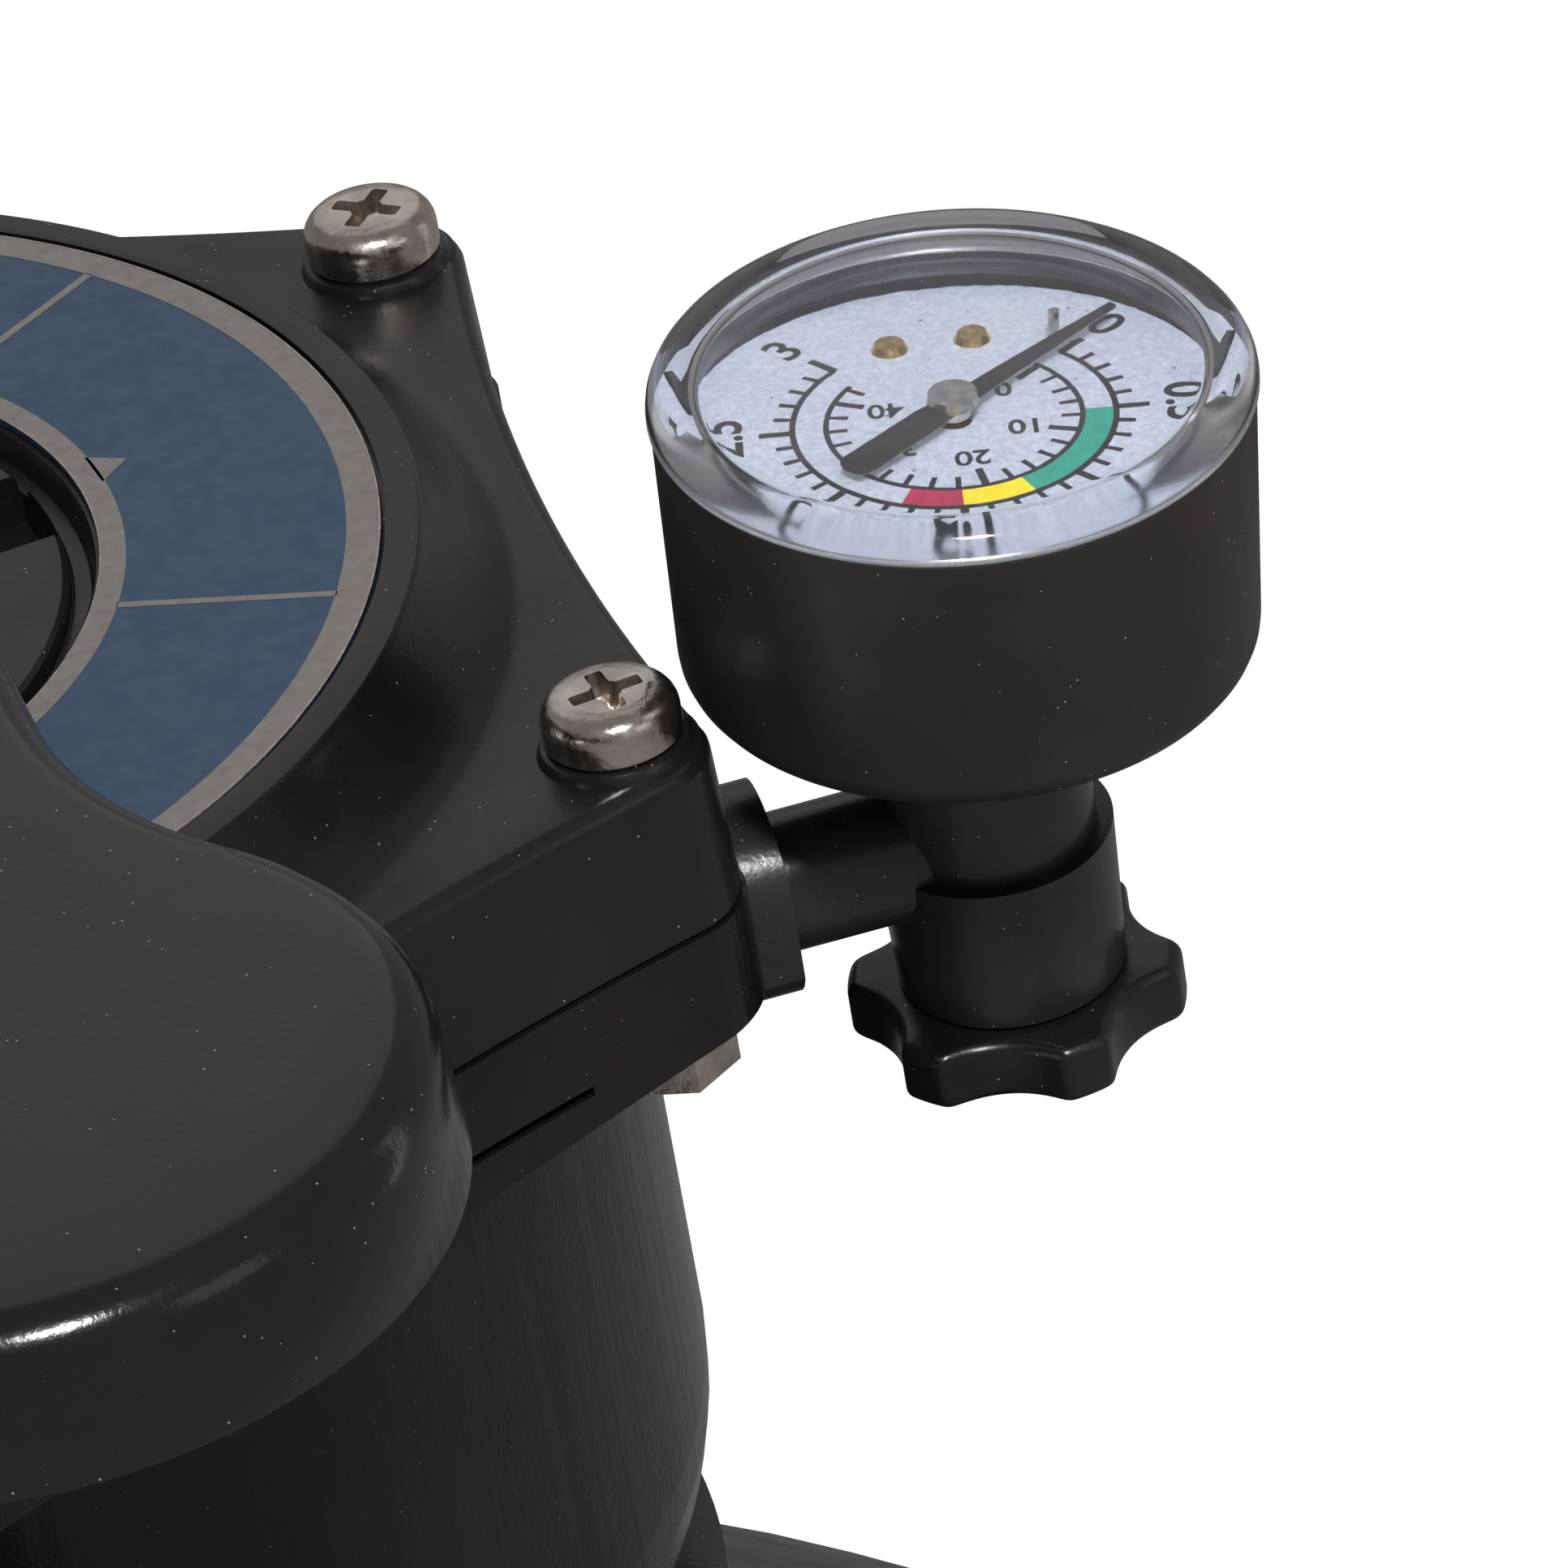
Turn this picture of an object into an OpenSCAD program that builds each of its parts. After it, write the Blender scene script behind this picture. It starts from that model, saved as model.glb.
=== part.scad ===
// Sand filter for a pool: a tank on a stand, with a six-way valve and a pressure gauge on top.
// Millimetres. The origin is the centre of the stand's underside, and +Z is up.

/* [Tank] */
// Outer diameter of the tank
tank_d = 400; // [360:5:440]
// Wall thickness of the tank
tank_wall = 6; // [5:0.5:7]
// Height of the tank's straight wall
tank_wall_h = 280; // [260:5:400]
// Height of the upper dome
top_dome_h = 166; // [160:1:180]
// Height of the lower dome
low_dome_h = 110; // [100:1:120]
// Number of collector pipes at the bottom
lateral_count = 6; // [6]

/* [Valve] */
// Distance from the valve's axis to a lid screw
screw_pitch_r = 88.7; // [88.2:0.1:89.2]
// Radius of a lid corner
lid_corner_r = 8.3; // [8:0.1:8.6]
// Distance from the valve's axis to the middle of a lid side
lid_side_r = 81.5; // [81:0.1:82]
// Height of the lid's outer wall
lid_wall_h = 15.6; // [15:0.1:16.5]
// Height of the valve body's flange
flange_h = 10.4; // [10:0.1:11]
// Outer radius of the position label
label_r = 66.7; // [66.2:0.1:67]
// Inner radius of the position label
label_hole_r = 42.2; // [42:0.1:42.6]
// Angle of the middle of the first position on the label
label_turn = 7.2; // [0:0.1:20]

/* [Handle] */
// Direction that the handle points in
handle_turn = -85.2; // [-180:0.1:180]
// Distance from the valve's axis to the handle's tip
handle_reach = 159; // [150:1:170]
// Radius of the handle's round end
handle_end_r = 38; // [36:0.5:40]
// Half the width of the handle's neck
handle_neck = 22; // [20:0.5:24]
// Height of the handle's top above the label
handle_top = 25; // [24:0.5:28]

/* [Gauge] */
// Outer radius of the gauge's case
gauge_r = 25.6; // [25.2:0.1:26]
// Height of the gauge's case
case_h = 25.8; // [25.2:0.1:26.4]
// Height of the clear lens above the case
lens_h = 3.2; // [2.8:0.1:3.6]
// Turn of the fitting on its thread, towards the front
fitting_turn = 3.6; // [0:0.1:5]
// Lean of the gauge in its thread, away from the valve
gauge_lean = 4; // [0:0.1:5]
// Radius of the bleed knob's points
knob_r = 14.6; // [14:0.1:15.2]

/* [Hidden] */
$fn = 96;
sides = 6;

// Heights of the tank
tank_r = tank_d / 2;
tank_foot_z = 30;
low_equator_z = tank_foot_z + low_dome_h;
top_equator_z = low_equator_z + tank_wall_h;
dome_top_z = top_equator_z + top_dome_h;
neck_r = 60;
neck_bore_r = 52;
rim_r = 70;
rim_h = 8;
rim_z = dome_top_z + 12;
seat_z = rim_z + rim_h;

// Heights of the valve
label_z = dome_top_z + 146;
lid_top_z = label_z - 9.5;
joint_z = lid_top_z - lid_wall_h;
flange_z = joint_z - flange_h;
flange_slope = 3.6;
valve_r = 81;
valve_floor_z = label_z - 113;
valve_round = 25;
chamber_r = 70;
port_plate_z = label_z - 68;
port_plate_h = 6;
gasket_h = 3;
rotor_z = port_plate_z + port_plate_h + gasket_h;
rotor_h = 12;
rotor_r = 66;
port_z = label_z - 86;
port_reach = 118;
port_boss_r = 28;
port_bore_r = 22.4;
port_bore_h = 24;
port_hole_r = 16;
port_angles = [90, 180, 270];
lid_roof_z = label_z - 10;
hub_face_z = label_z - 1.5;
stem_r = 15;
stem_gap = 0.1;
boss_top_r = 70;
boss_foot_r = 79;

// Lid fasteners, M6
screw_r = 3;
screw_hole_r = 3.3;
screw_head_r = 6;
screw_head_h = 4.6;
screw_length = 33;
screw_pad_r = 6.6;
screw_pad_h = 1;
washer_r = 5.5;
washer_h = 1.2;
nut_r = 5.77;
nut_h = 5;

// Handle
pin_z = label_z + 11;
pin_r = 3;
handle_under = 15;
hub_r = 28;
pawl_out = 37;

// Gauge fitting
fitting_at = [108.9, -35, label_z - 33];
boss_end_x = 85;
shank_r = 4;
seal_r = 6.4;
tube_r = 6.1;
post_top = 17.5;
post_bottom = -14.4;
gauge_shift = 0.5;
dial_depth = 3.4;
case_floor = 0.9;
thread_r = 4.86;
knob_h = 5.7;
knob_point_r = 2.6;
knob_arc_r = 9.2;

// Gauge movement
pinion_teeth = 10;
sector_teeth = 60;
gear_module = 0.4;
sector_at = [-gear_module * (pinion_teeth + sector_teeth) / 2, 0];
pointer_angle = 32;
dial_screw_r = 13.8;
dial_screw_angles = [68, 99];
stop_pin_r = 15.4;

// Colours
black_plastic = "#1b1a1a";
grey_rubber = "#2b2b2c";
steel = "#a8a39d";
brass = "#b08d45";
blue_label = "#2c4a6e";
clear = "#c8d4e8";
white_plastic = "#e6e6e4";

// Points of an arc round a centre
function arc(c, r, from, to, n = 10) =
    [for (i = [0:n]) let (a = from + (to - from) * i / n) [c[0] + r * cos(a), c[1] + r * sin(a)]];

// Points of a quarter-ellipse arch
function dome(a, b, z, from, to, n = 18) =
    [for (i = [0:n]) let (t = from + (to - from) * i / n) [a * cos(t), z + b * sin(t)]];

function turn(p, a) = [p[0] * cos(a) - p[1] * sin(a), p[0] * sin(a) + p[1] * cos(a)];

// Outline of the lid: six round corners joined by hollow sides. It grows by g all round.
side_sag = screw_pitch_r * cos(30) + lid_corner_r - lid_side_r;
side_half = screw_pitch_r * sin(30);
side_arc_r = (side_half * side_half + side_sag * side_sag) / (2 * side_sag);
function lid_side(g, n = 12) =
    [for (i = [-n:n]) let (y = side_half * i / n)
        [lid_side_r + g + side_arc_r - sqrt(side_arc_r * side_arc_r - y * y), y]];
function lid_corner(g) =
    arc([screw_pitch_r * cos(30), screw_pitch_r * sin(30)], lid_corner_r + g, 6, 54, 8);
function lid_outline(g) = [for (k = [0:sides - 1]) each
    [for (p = concat(lid_side(g), lid_corner(g))) turn(p, 60 * k)]];

module ring(r_out, r_in, z, h) {
    translate([0, 0, z])
        difference() {
            cylinder(r = r_out, h = h);
            translate([0, 0, -1])
                cylinder(r = r_in, h = h + 2);
        }
}

module torus(r, thick, z) {
    translate([0, 0, z])
        rotate_extrude()
            translate([r, 0])
                circle(r = thick, $fn = 24);
}

// ---- Stand and tank ----

module base_stand() color(black_plastic) {
    difference() {
        rotate_extrude()
            polygon([[150, 0], [196, 0], [196, 6], [191, 8], [177, 77], [168, 80.2], [163.5, 76.5],
                [171, 71], [184, 8], [184, 5], [150, 5]]);
        for (k = [0:3])
            rotate(45 + 90 * k)
                translate([160, 0, -1])
                    cylinder(r = 4.5, h = 12);
    }
}

drain_z = 104;
drain_reach = tank_r - 6;
drain_angle = -90;
drain_bore_r = 9;
drain_boss_r = 13;
drain_floor = tank_r - 16;
drain_pocket_r = 18.5;

module at_drain() {
    rotate(drain_angle)
        translate([0, 0, drain_z])
            rotate([0, 90, 0])
                children();
}

module tank_hull() {
    difference() {
            rotate_extrude()
                polygon(concat(
                    [[0, tank_foot_z]],
                    dome(tank_r, low_dome_h, low_equator_z, -85, 0),
                    dome(tank_r, top_dome_h, top_equator_z, 0, 72.5),
                    [[neck_r, rim_z], [rim_r, rim_z], [rim_r, seat_z], [neck_bore_r, seat_z],
                        [0, seat_z]]));
        rotate_extrude()
            polygon(concat(
                [[0, tank_foot_z + tank_wall]],
                dome(tank_r - tank_wall, low_dome_h - tank_wall, low_equator_z, -85, 0),
                dome(tank_r - tank_wall, top_dome_h - tank_wall, top_equator_z, 0, 74.5),
                [[neck_bore_r, dome_top_z - tank_wall], [neck_bore_r, seat_z + 1], [0, seat_z + 1]]));
        ring(65, 61.5, seat_z - 2.2, 4);
        at_drain()
            translate([0, 0, drain_floor])
                cylinder(r = drain_pocket_r, h = 40);
    }
}

module tank_shell() color(black_plastic) {
    difference() {
        union() {
            tank_hull();
            at_drain()
                translate([0, 0, drain_floor - 20])
                    cylinder(r = drain_pocket_r + 3, h = 20);
            at_drain()
                translate([0, 0, drain_floor - 5])
                    cylinder(r = drain_boss_r, h = drain_reach - drain_floor + 5);
        }
        at_drain()
            translate([0, 0, drain_floor - 30])
                cylinder(r = drain_bore_r, h = 70);
    }
}

module drain_gasket() color(grey_rubber) {
    at_drain()
        ring(drain_boss_r - 0.5, drain_bore_r + 0.5, drain_reach + 0.1, 2);
}

module drain_cap() color(black_plastic) {
    at_drain()
        difference() {
            union() {
                translate([0, 0, drain_reach - 6])
                    cylinder(r = 15.4, h = 11.5);
                for (k = [0:11])
                    rotate(30 * k)
                        translate([15.2, 0, drain_reach - 5])
                            cylinder(r = 1.4, h = 9, $fn = 24);
            }
            translate([0, 0, drain_reach - 7])
                cylinder(r = drain_boss_r + 0.4, h = 9.2);
        }
}

// ---- Collector and standpipe ----

pipe_r = 25;
collector_z = 88;

module standpipe() color(white_plastic) {
    ring(pipe_r, 22.6, collector_z + 2, label_z - 116 - collector_z - 2);
}

module lateral_hub() color(white_plastic) {
    difference() {
        translate([0, 0, collector_z - 18])
            cylinder(r = 34, h = 50);
        translate([0, 0, collector_z + 2])
            cylinder(r = pipe_r + 0.1, h = 40);
        translate([0, 0, collector_z - 12])
            cylinder(r = 22, h = 20);
        for (k = [0:sides - 1])
            rotate(60 * k)
                translate([0, 0, collector_z])
                    rotate([0, 90, 0])
                        cylinder(r = 9.1, h = 60);
    }
}

module lateral(k) color(white_plastic) {
    rotate(60 * k)
        translate([0, 0, collector_z])
            rotate([0, 90, 0])
                difference() {
                    union() {
                        translate([0, 0, 26])
                            cylinder(r = 9, h = 16);
                        translate([0, 0, 34.2])
                            cylinder(r = 11, h = 96);
                        translate([0, 0, 130.2])
                            cylinder(r1 = 11, r2 = 7, h = 6);
                    }
                    translate([0, 0, 25])
                        cylinder(r = 7.5, h = 104);
                    for (i = [0:7])
                        translate([-12, 3, 46 + 10 * i])
                            cube([24, 12, 1]);
                    for (i = [0:7])
                        translate([-12, -15, 46 + 10 * i])
                            cube([24, 12, 1]);
                }
}

module diffuser() color(white_plastic) {
    difference() {
        ring(44, 27, seat_z - 56, 36);
        ring(40, 31, seat_z - 52, 40);
        for (k = [0:11])
            rotate(30 * k)
                translate([36, -2, seat_z - 48])
                    cube([12, 4, 24]);
    }
}

// ---- Neck clamp ----

module neck_oring() color(grey_rubber) {
    torus(63.2, 1.1, seat_z - 1.1);
}

clamp_r = 79;
clamp_low_z = rim_z - 4;
clamp_top_z = seat_z + 11;
ear_x = 92;
clamp_turn = 60;

module clamp_half(side) color(black_plastic) {
    rotate(clamp_turn)
    difference() {
        union() {
            translate([0, 0, clamp_low_z])
                cylinder(r = clamp_r, h = clamp_top_z - clamp_low_z);
            for (s = [-1, 1])
                translate([s * 84 - 13, -11, clamp_low_z])
                    cube([26, 22, clamp_top_z - clamp_low_z]);
        }
        translate([0, 0, clamp_low_z - 1])
            cylinder(r = neck_r + 0.6, h = 40);
        translate([0, 0, rim_z - 0.2])
            cylinder(r = rim_r + 0.6, h = rim_h * 2 + 0.4);
        translate([-150, side > 0 ? -150 : -1, clamp_low_z - 1])
            cube([300, 151, 60]);
        for (s = [-1, 1])
            translate([s * ear_x, 0, clamp_low_z + 12])
                rotate([90, 0, 0])
                    translate([0, 0, -30])
                        cylinder(r = 3.3, h = 60);
    }
}

module clamp_bolts() color(steel) {
    for (s = [-1, 1])
        rotate(clamp_turn)
        translate([s * ear_x, -11, clamp_low_z + 12])
            rotate([90, 0, 0]) {
                cylinder(r = 6.3, h = 4, $fn = 6);
                translate([0, 0, -29])
                    cylinder(r = 3, h = 29);
            }
}

module clamp_nuts() color(steel) {
    for (s = [-1, 1])
        rotate(clamp_turn)
        translate([s * ear_x, 16, clamp_low_z + 12])
            rotate([90, 0, 0])
                difference() {
                    cylinder(r = 5.77, h = 5, $fn = 6);
                    translate([0, 0, -1])
                        cylinder(r = 3.02, h = 8);
                }
}

// ---- Valve body ----

module valve_shape() {
    intersection() {
        translate([0, 0, flange_z - flange_slope])
            linear_extrude(flange_h + flange_slope)
                polygon(lid_outline(0.4));
        rotate_extrude()
            polygon([[0, flange_z - flange_slope], [valve_r - 0.5, flange_z - flange_slope], [98, flange_z],
                [98, joint_z], [0, joint_z]]);
    }
    rotate_extrude()
        polygon(concat(
            [[0, valve_floor_z]],
            arc([valve_r - valve_round, valve_floor_z + valve_round], valve_round, -90, 0, 10),
            [[valve_r, joint_z - 1], [0, joint_z - 1]]));
    translate([0, 0, seat_z])
        cylinder(r = neck_r, h = valve_floor_z - seat_z + 2);
    translate([0, 0, seat_z])
        cylinder(r = rim_r, h = rim_h);
    translate([0, 0, seat_z - 20])
        cylinder(r = neck_bore_r - 0.5, h = 24);
    for (a = port_angles)
        rotate(a)
            translate([60, 0, port_z])
                rotate([0, 90, 0])
                    cylinder(r = port_boss_r, h = port_reach - 60);
    translate([70, fitting_at[1], fitting_at[2]])
        rotate([0, 90, 0])
            cylinder(r = 7.8, h = boss_end_x - 70);
}

module valve_body() color(black_plastic) {
    difference() {
        union() {
            difference() {
                valve_shape();
                // Rotor chamber
                translate([0, 0, port_plate_z + port_plate_h])
                    cylinder(r = chamber_r, h = 60);
                // Water chambers under the port plate
                ring(chamber_r, 30, valve_floor_z + 6, port_plate_z - valve_floor_z - 6);
            }
            // Walls between the water chambers
            for (k = [0:sides - 1])
                rotate(label_turn + 30 + 60 * k)
                    translate([28, -2, valve_floor_z + 5])
                        cube([chamber_r - 26, 4, port_plate_z - valve_floor_z - 4]);
        }
        // Ways through the port plate
        for (k = [0:sides - 1])
            rotate(label_turn + 60 * k)
                translate([36, -12, port_plate_z - 1])
                    cube([24, 24, port_plate_h + 2]);
        // Way to the standpipe, and its socket
        translate([0, 0, seat_z - 21])
            cylinder(r = 22.6, h = 120);
        translate([0, 0, seat_z - 21])
            cylinder(r = pipe_r + 0.1, h = label_z - 115.8 - seat_z + 21);
        // Ways down into the tank
        for (k = [0:3])
            rotate(90 * k + 22)
                translate([37, 0, seat_z - 21])
                    cylinder(r = 8, h = 45);
        for (a = port_angles)
            rotate(a) {
                translate([port_reach - port_bore_h, 0, port_z])
                    rotate([0, 90, 0])
                        cylinder(r = port_bore_r, h = port_bore_h + 1);
                translate([50, 0, port_z])
                    rotate([0, 90, 0])
                        cylinder(r = port_hole_r, h = port_reach - 60);
            }
        // Seal groove, screw holes and the gauge's port
        ring(76, 71.8, joint_z - 2.8, 5);
        for (k = [0:sides - 1])
            rotate(30 + 60 * k)
                translate([screw_pitch_r, 0, flange_z - 1]) {
                    cylinder(r = screw_hole_r, h = flange_h + 2);
                    translate([0, 0, -7])
                        cylinder(r = washer_r + 0.4, h = 8);
                }
        // Finger groove round the flange's sides
        for (k = [0:sides - 1])
            rotate(60 * k)
                translate([lid_side_r - 0.6, -30, joint_z - 9.2])
                    cube([10, 60, 0.9]);
        translate([70, fitting_at[1], fitting_at[2]])
            rotate([0, 90, 0])
                cylinder(r = shank_r + 0.05, h = 20);
        translate([55, fitting_at[1], fitting_at[2]])
            rotate([0, 90, 0])
                cylinder(r = 2, h = 20);
    }
}

module lid() color(black_plastic) {
    difference() {
        union() {
            translate([0, 0, joint_z])
                linear_extrude(lid_wall_h)
                    polygon(lid_outline(0));
            rotate_extrude()
                polygon(concat(
                    [[0, joint_z + 2], [boss_foot_r, joint_z + 2]],
                    arc([boss_foot_r, label_z - 0.4], boss_foot_r - boss_top_r, -90, -180, 8),
                    [[boss_top_r, label_z], [label_r + 0.3, label_z + 0.2], [label_r + 0.3, label_z - 0.7],
                        [label_hole_r - 0.2, label_z - 0.7], [label_hole_r - 0.2, label_z - 3.5],
                        [38.8, label_z - 3.5], [38.8, hub_face_z], [0, hub_face_z]]));
            for (k = [0:sides - 1])
                rotate(30 + 60 * k)
                    translate([screw_pitch_r, 0, lid_top_z - 1])
                        cylinder(r = screw_pad_r, h = screw_pad_h + 1);
        }
        // Hollow inside, with a guide left round the stem
        difference() {
            union() {
                translate([0, 0, joint_z - 1])
                    cylinder(r = 69, h = 8);
                translate([0, 0, joint_z + 6])
                    cylinder(r = 62, h = lid_roof_z - joint_z - 6);
            }
            translate([0, 0, joint_z])
                cylinder(r = 20, h = 60);
        }
        translate([0, 0, joint_z - 2])
            cylinder(r = stem_r + stem_gap, h = 60);
        translate([0, 0, joint_z - 1])
            cylinder(r = 21, h = 4);
        // Notches, one for each position
        for (k = [0:sides - 1])
            rotate(label_turn + 60 * k)
                translate([29, -5.75, label_z - 6.5])
                    cube([10.6, 11.5, 10]);
        for (k = [0:sides - 1])
            rotate(30 + 60 * k)
                translate([screw_pitch_r, 0, joint_z - 1])
                    cylinder(r = screw_hole_r, h = lid_wall_h + 4);
    }
}

module lid_oring() color(grey_rubber) {
    torus(73.9, 1.35, joint_z - 1.4);
}

module lid_screws() color(steel) {
    for (k = [0:sides - 1])
        rotate(30 + 60 * k)
            translate([screw_pitch_r, 0, lid_top_z + screw_pad_h])
                difference() {
                    union() {
                        rotate_extrude()
                            polygon(concat([[0, 0], [screw_head_r - 0.3, 0]],
                                arc([screw_head_r - 1.9, screw_head_h - 2.3], 1.9, 0, 90, 5),
                                [[0, screw_head_h]]));
                        translate([0, 0, -screw_length])
                            cylinder(r = screw_r, h = screw_length + 0.5);
                    }
                    rotate(25 * k)
                        for (a = [0, 90])
                            rotate(a)
                                translate([-3.2, -0.7, screw_head_h - 2.2])
                                    cube([6.4, 1.4, 3]);
                }
}

module lid_washers() color(steel) {
    for (k = [0:sides - 1])
        rotate(30 + 60 * k)
            translate([screw_pitch_r, 0, 0])
                ring(washer_r, screw_hole_r, flange_z - washer_h, washer_h);
}

module lid_nuts() color(steel) {
    for (k = [0:sides - 1])
        rotate(30 + 60 * k)
            translate([screw_pitch_r, 0, flange_z - washer_h - nut_h])
                difference() {
                    rotate(8)
                        cylinder(r = nut_r, h = nut_h, $fn = 6);
                    translate([0, 0, -1])
                        cylinder(r = screw_r + 0.02, h = nut_h + 2);
                }
}

module label_disc() color(blue_label) {
    ring(label_r, label_hole_r, label_z - 0.6, 0.6);
}

// ---- Inside the valve ----

module spider_gasket() color(grey_rubber) {
    difference() {
        ring(rotor_r, 24, port_plate_z + port_plate_h, gasket_h);
        for (k = [0:sides - 1])
            rotate(label_turn + 60 * k)
                translate([35, -13, port_plate_z])
                    cube([26, 26, 20]);
    }
}

module rotor() color(white_plastic) {
    difference() {
        union() {
            translate([0, 0, rotor_z + 0.1])
                cylinder(r = rotor_r, h = rotor_h);
            translate([0, 0, rotor_z + rotor_h])
                cylinder(r1 = 19, r2 = stem_r, h = 4);
            translate([0, 0, rotor_z + rotor_h])
                cylinder(r = stem_r, h = label_z + 3 - rotor_z - rotor_h);
            rotate(handle_turn)
                translate([-13, -6, label_z + 2])
                    cube([26, 12, 17]);
        }
        // The open port, and the hollow that joins two others
        rotate(handle_turn)
            translate([36, -12, rotor_z - 1])
                cube([24, 24, rotor_h + 4]);
        for (a = [120, 180, 240])
            rotate(handle_turn + a)
                translate([36, -12, rotor_z - 1])
                    cube([24, 24, 9]);
        difference() {
            translate([0, 0, rotor_z - 1])
                cylinder(r = 56, h = 9);
            translate([0, 0, rotor_z - 2])
                cylinder(r = 40, h = 12);
            rotate(handle_turn + 180)
                translate([-80, -34, rotor_z - 2])
                    cube([80, 68, 12]);
        }
        for (z = [joint_z + 8, joint_z + 13])
            ring(stem_r + 1, 13, z - 1.2, 2.4);
        translate([0, 0, pin_z])
            rotate(handle_turn)
                rotate([90, 0, 0])
                    translate([0, 0, -20])
                        cylinder(r = pin_r, h = 40);
    }
}

module stem_orings() color(grey_rubber) {
    for (z = [joint_z + 8, joint_z + 13])
        torus(14.05, 1, z);
}

spring_low = rotor_z + rotor_h + 0.4;
spring_high = lid_roof_z - 2.4;
spring_r = 24;
wire_r = 2;
spring_turns = 5;

// One ring of points of the spring's wire, at a share t of its length
function coil_ring(t) = let (a = 360 * spring_turns * t, z = spring_low + wire_r + (spring_high - spring_low - 2 * wire_r) * t)
    [for (i = [0:7]) let (r = spring_r + wire_r * cos(45 * i))
        [r * cos(a), r * sin(a), z + wire_r * sin(45 * i)]];

module rotor_spring() color(steel) {
    steps = spring_turns * 20;
    points = [for (i = [0:steps]) each coil_ring(i / steps)];
    walls = [for (i = [0:steps - 1], j = [0:7])
        [i * 8 + j, i * 8 + (j + 1) % 8, (i + 1) * 8 + (j + 1) % 8, (i + 1) * 8 + j]];
    polyhedron(points, concat([[for (j = [7:-1:0]) j]], walls, [[for (j = [0:7]) steps * 8 + j]]), convexity = 10);
}

module spring_washer() color(steel) {
    ring(28, 20.4, lid_roof_z - 2, 2);
}

module turning_washer() color(white_plastic) {
    ring(27, stem_r + 0.5, hub_face_z + 0.1, 1.6);
}

// ---- Handle ----

end_at = handle_reach - handle_end_r;
waist_r = 45;
waist_y = handle_neck + waist_r;
waist_x = end_at - sqrt(pow(handle_end_r + waist_r, 2) - pow(waist_y, 2));
waist_a = atan2(waist_y, end_at - waist_x);

// Half of the handle's outline, from the hub to the tip, pulled in by g
function handle_half(g) = concat(
    arc([0, 0], hub_r - g, 180, 60, 10),
    arc([waist_x, waist_y], waist_r + g, -90, -waist_a, 8),
    arc([end_at, 0], handle_end_r - g, 180 - waist_a, 0, 16));
function handle_outline(g) = let (half = handle_half(g), n = len(half))
    concat(half, [for (i = [n - 2:-1:1]) [half[i][0], -half[i][1]]]);

module handle() color(black_plastic) {
    top = label_z + handle_top;
    rotate(handle_turn)
        difference() {
            union() {
                translate([0, 0, top - handle_under])
                    linear_extrude(handle_under - 2)
                        polygon(handle_outline(0));
                translate([0, 0, top - 2.01])
                    linear_extrude(1.01)
                        polygon(handle_outline(0.6));
                translate([0, 0, top - 1.01])
                    linear_extrude(1.01)
                        polygon(handle_outline(2));
                translate([0, 0, label_z + 0.8])
                    cylinder(r = hub_r, h = 20);
                translate([-pawl_out, -5.2, hub_face_z + 0.3])
                    cube([pawl_out - 27.6, 10.4, 18]);
                translate([-pawl_out, -8, label_z + 6])
                    cube([pawl_out, 16, 14]);
            }
            // Hollow underneath
            difference() {
                translate([0, 0, top - handle_under - 1])
                    linear_extrude(handle_under - 3)
                        polygon(handle_outline(4));
                translate([-60, -60, top - 40])
                    cube([60 + pawl_out + 3, 120, 60]);
                for (y = [-12, 0, 12])
                    translate([40, y - 1.2, top - 40])
                        cube([120, 2.4, 60]);
            }
            // Slot for the stem
            translate([-17, -6.3, label_z - 4])
                cube([34, 12.6, 26.5]);
            // Room round the stem, the washer and the turning hub
            translate([0, 0, label_z - 4])
                cylinder(r = stem_r + 2.5, h = 11);
            translate([0, 0, pin_z])
                rotate([90, 0, 0])
                    translate([0, 0, -40])
                        cylinder(r = pin_r + 0.05, h = 80);
        }
}

module handle_pin() color(steel) {
    translate([0, 0, pin_z])
        rotate(handle_turn)
            rotate([90, 0, 0])
                translate([0, 0, -24])
                    cylinder(r = pin_r, h = 48);
}

// ---- Gauge fitting and bleed knob ----

module at_fitting() {
    translate(fitting_at)
        rotate([fitting_turn, 0, 0])
            children();
}

module at_gauge() {
    at_fitting()
        translate([gauge_shift, 0, post_top])
            rotate([0, gauge_lean, 0])
                children();
}

collar_in = boss_end_x + 0.7 - fitting_at[0];
collar_out = 89.4 - fitting_at[0];
collar_r = 9.4;
collar_flat = 8.3;

module gauge_tee() color(black_plastic) {
    difference() {
        union() {
            at_fitting() {
                translate([0, 0, post_bottom])
                    cylinder(r1 = 9.9, r2 = 10.5, h = -post_bottom);
                cylinder(r = 9.1, h = post_top);
                translate([collar_in, 0, 0])
                    rotate([0, 90, 0])
                        cylinder(r = tube_r, h = -collar_in);
                translate([collar_in, 0, 0])
                    rotate([0, 90, 0])
                        intersection() {
                            cylinder(r = collar_r, h = collar_out - collar_in);
                            translate([-collar_r, -collar_flat, 0])
                                cube([2 * collar_r, 2 * collar_flat, 10]);
                        }
                translate([71.5 - fitting_at[0], 0, 0])
                    rotate([0, 90, 0])
                        cylinder(r = shank_r, h = 20);
            }
        }
        at_fitting() {
            translate([69 - fitting_at[0], 0, 0])
                rotate([0, 90, 0])
                    cylinder(r = 2, h = -69 + fitting_at[0]);
            translate([0, 0, post_bottom - 1])
                cylinder(r = 4.05, h = 12.8);
            translate([0, 0, post_bottom])
                cylinder(r = 1.6, h = 40);
        }
        at_gauge()
            translate([0, 0, -11])
                cylinder(r = thread_r + 0.05, h = 14);
    }
}

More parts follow.
